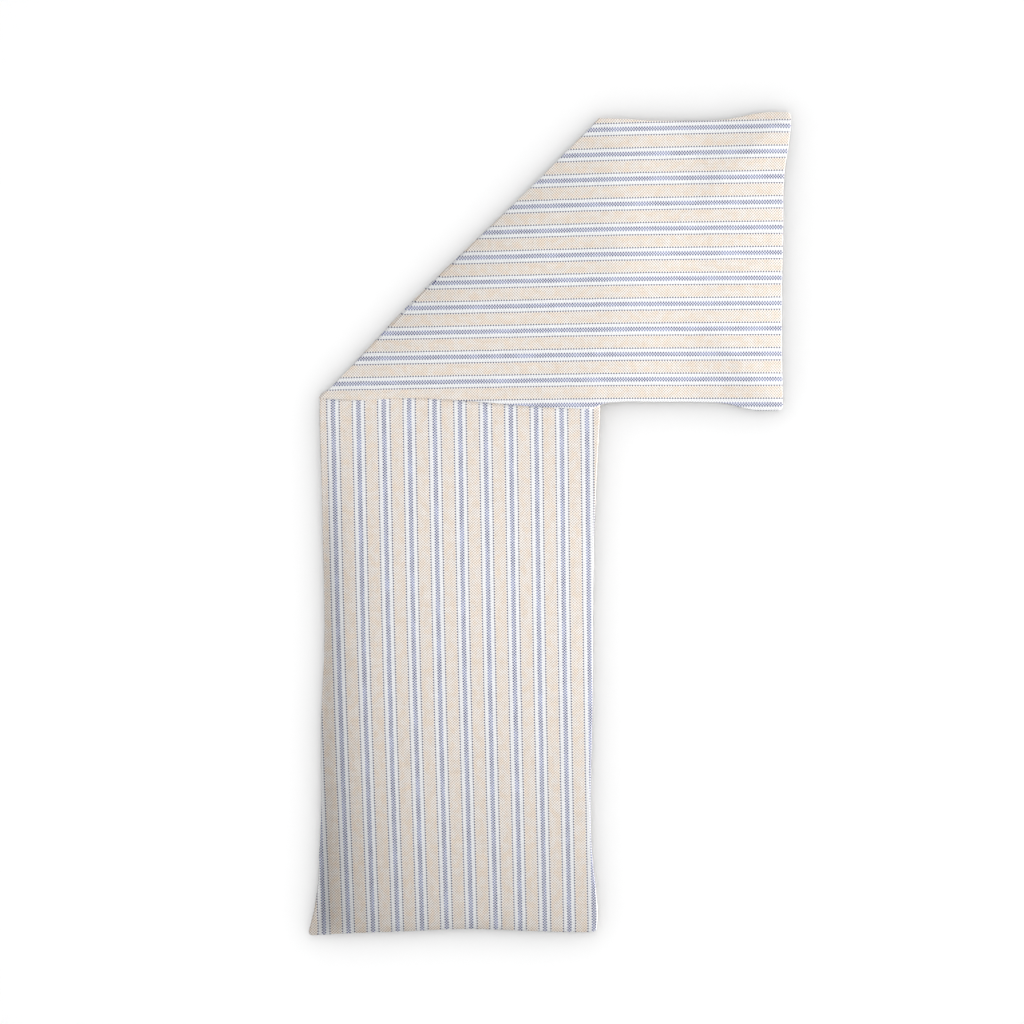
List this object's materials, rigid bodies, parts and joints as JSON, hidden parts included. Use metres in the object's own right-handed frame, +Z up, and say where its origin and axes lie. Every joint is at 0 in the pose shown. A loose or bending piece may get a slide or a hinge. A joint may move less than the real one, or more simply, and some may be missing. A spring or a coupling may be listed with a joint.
{
  "type": "table runner",
  "caption": "Self-lined rectangular cloth table runner in striped ticking, laid flat with one end turned over at 45 degrees; the turned end lifts about the fold line.",
  "frame": {"origin": "on the table, in the middle of the whole runner's outline as it lies", "axes": "+Z up from the table; +Y up the long leg towards the fold; +X along the turned end towards its free edge"},
  "size_m": [0.653, 1.145, 0.0052],
  "materials": {
    "ticking": "woven cotton ticking, cream and tan herringbone ground with blue and white stripes, matt",
    "sewing_thread": "polyester-cotton sewing thread, slight sheen",
    "hand_thread": "doubled cotton hand-sewing thread, matt"
  },
  "bodies": {
    "leg": {"leg_face_panel": "ticking", "leg_back_panel": "ticking", "leg_left_seam": "sewing_thread", "leg_right_seam": "sewing_thread", "leg_end_seam": "sewing_thread", "turning_gap_slipstitches": "hand_thread", "fold_face_bend": "ticking", "fold_back_bend": "ticking", "fold_seams": "sewing_thread"},
    "flap": {"flap_face_panel": "ticking", "flap_back_panel": "ticking", "flap_lower_seam": "sewing_thread", "flap_upper_seam": "sewing_thread", "flap_end_seam": "sewing_thread"}
  },
  "joints": [
    {"name": "fold", "type": "hinge", "parent": "leg", "child": "flap", "pos_m": [-0.129, 0.375, 0.0026], "axis": [-0.7071, -0.7071, 0], "range_deg": [0, 180], "deforming": ["fold_face_bend", "fold_back_bend", "fold_seams"]}
  ]
}
